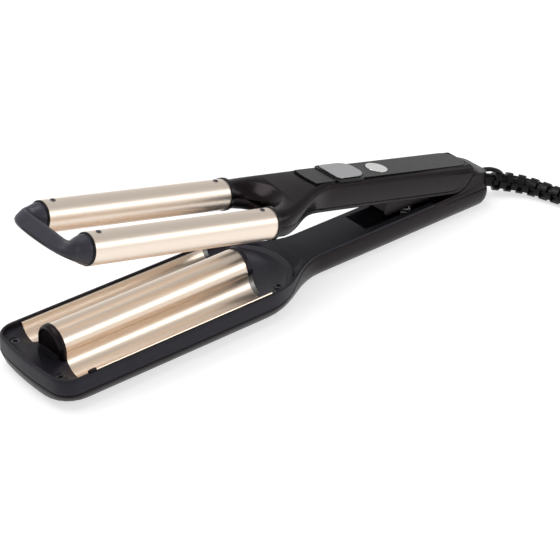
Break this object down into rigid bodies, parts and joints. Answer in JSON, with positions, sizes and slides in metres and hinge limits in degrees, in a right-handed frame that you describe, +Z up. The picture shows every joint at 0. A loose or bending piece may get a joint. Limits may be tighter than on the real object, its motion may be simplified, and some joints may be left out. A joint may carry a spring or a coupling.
{
  "type": "hair waver",
  "caption": "Hair waver: a sprung upper arm with heated gold barrels over a gold wave plate, a round power button, a thumb pad, a strain relief and a coiled mains cord.",
  "frame": {"origin": "middle of the underside of the lower arm, on the table", "axes": "+Z up, X along the arms with the tips at -X and the cord at +X, Y across the arms"},
  "size_m": [0.5023, 0.1614, 0.1064],
  "materials": {
    "casing": "satin black moulding",
    "frame": "fine matt dark grey moulding",
    "arm": "semi-gloss black moulding",
    "arm_cover": "satin dark grey moulding",
    "gold": "champagne gold satin coating",
    "collar": "glossy black",
    "panel": "satin graphite paint",
    "pad": "brushed light grey",
    "pad_rim": "satin grey",
    "silver": "satin silver",
    "steel": "zinc plated steel",
    "heater": "foil wrapped ceramic element",
    "shoe": "mill finish",
    "ceramic": "plain white",
    "lead": "silicone insulation",
    "board": "green solder mask",
    "cord": "matt black sheath",
    "relief": "matt black rubber",
    "plug": "matt black moulding"
  },
  "bodies": {
    "lower_arm": {"lower_casing": "casing", "head_frame": "frame", "tail_cover": "casing", "wave_plate": "gold", "ridge_cap_front": "frame", "ridge_collar_rear": "frame", "plate_screws": "steel", "casing_screws": "steel", "lower_heater": "heater", "thermal_fuse": "ceramic", "heater_leads": "lead", "cord_clamp": "ceramic", "clamp_screws": "steel", "mains_lead": "cord", "hinge_pin": "steel", "hinge_spring": "steel", "cord_boot": "relief", "strain_relief": "relief", "cord_run": "cord", "cord_coil": "cord", "cord_tie": "relief", "plug_run": "cord", "plug_body": "plug", "plug_pins": "steel"},
    "upper_arm": {"upper_casing": "arm", "upper_cover": "arm_cover", "cover_screws": "steel", "top_panel": "panel", "pad_base": "pad_rim", "barrel_near": "gold", "barrel_far": "gold", "barrel_collars": "collar", "tip_bridge": "frame", "barrel_screws": "steel", "barrel_heaters": "heater", "heater_shoes": "shoe", "hinge_block": "arm_cover", "block_screws": "steel", "control_board": "board", "board_screws": "steel", "tact_switches": "ceramic", "arm_leads": "lead"},
    "power_key": {"power_button": "silver", "power_plunger": "relief"},
    "thumb_key": {"thumb_pad": "pad", "pad_plungers": "relief"}
  },
  "joints": [
    {"name": "arm_close", "type": "hinge", "parent": "lower_arm", "child": "upper_arm", "pos_m": [0.1415, 0, 0.012], "axis": [0, -1, 0], "range_deg": [0, 13.6], "stiffness_Nm_per_rad": 2.5, "springref_deg": -20.05, "deforming": ["hinge_spring"]},
    {"name": "power_press", "type": "slide", "parent": "upper_arm", "child": "power_key", "axis": [-0.2351, 0, -0.972], "range_m": [0, 0.0007], "stiffness_N_per_m": 1500, "springref_m": -0.0006},
    {"name": "pad_press", "type": "slide", "parent": "upper_arm", "child": "thumb_key", "axis": [-0.2351, 0, -0.972], "range_m": [0, 0.0007], "stiffness_N_per_m": 1500, "springref_m": -0.0006}
  ]
}
